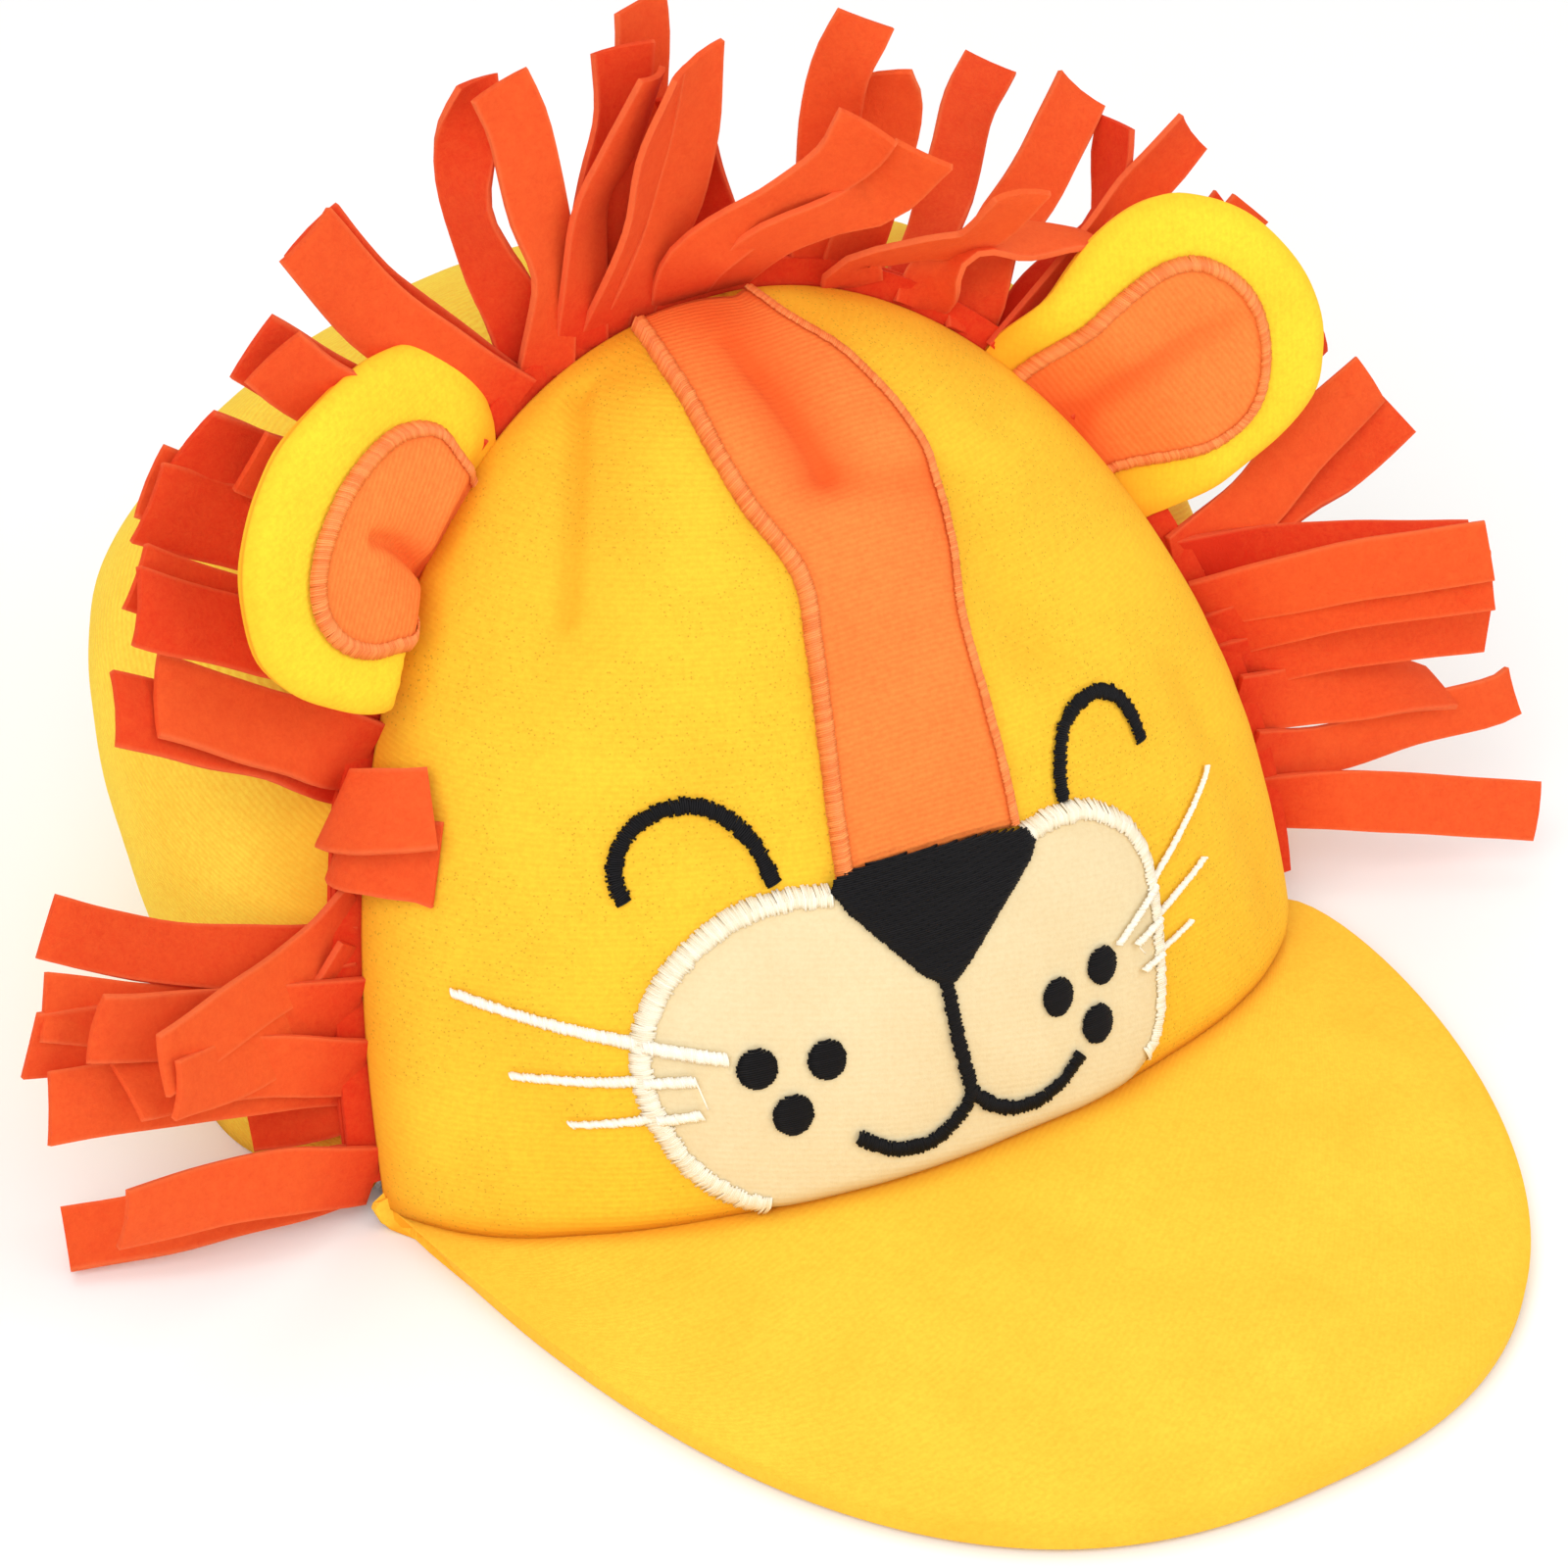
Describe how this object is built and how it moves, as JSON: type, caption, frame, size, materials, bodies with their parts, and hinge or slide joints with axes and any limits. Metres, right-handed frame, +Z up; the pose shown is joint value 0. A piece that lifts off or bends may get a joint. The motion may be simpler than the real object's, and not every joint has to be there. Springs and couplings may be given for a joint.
{
  "type": "felt cap",
  "caption": "Child's soft peaked cap made up as a lion's face, with padded ears, an appliqué muzzle and a mane of cut felt strips.",
  "frame": {"origin": "on the surface the cap stands on, under the middle of its bounding box", "axes": "+Z up through the crown; the face and the peak point along -Y; +X is the right-hand side of a viewer who faces the face"},
  "size_m": [0.2542, 0.2436, 0.1561],
  "materials": {
    "yellow_cloth": "brushed knit",
    "white_cloth": "plain weave",
    "orange_felt": "felt",
    "orange_cloth": "brushed knit",
    "cream_cloth": "brushed knit",
    "black_thread": "satin stitch",
    "white_thread": "satin stitch"
  },
  "bodies": {
    "root": {"back_panel": "yellow_cloth", "ear_left": "yellow_cloth", "ear_patch_left": "orange_cloth", "ear_patch_right": "orange_cloth", "ear_right": "yellow_cloth", "eye_left": "black_thread", "eye_right": "black_thread", "forehead_stripe": "orange_cloth", "front_panel": "yellow_cloth", "lining_band": "white_cloth", "mane": "orange_felt", "mouth": "black_thread", "muzzle_patch": "cream_cloth", "nose_patch": "black_thread", "peak": "yellow_cloth", "spot_left_inner": "black_thread", "spot_left_lower": "black_thread", "spot_left_outer": "black_thread", "spot_right_inner": "black_thread", "spot_right_lower": "black_thread", "spot_right_outer": "black_thread", "whisker_left_lower": "white_thread", "whisker_left_middle": "white_thread", "whisker_left_upper": "white_thread", "whisker_right_lower": "white_thread", "whisker_right_middle": "white_thread", "whisker_right_upper": "white_thread"}
  },
  "joints": []
}
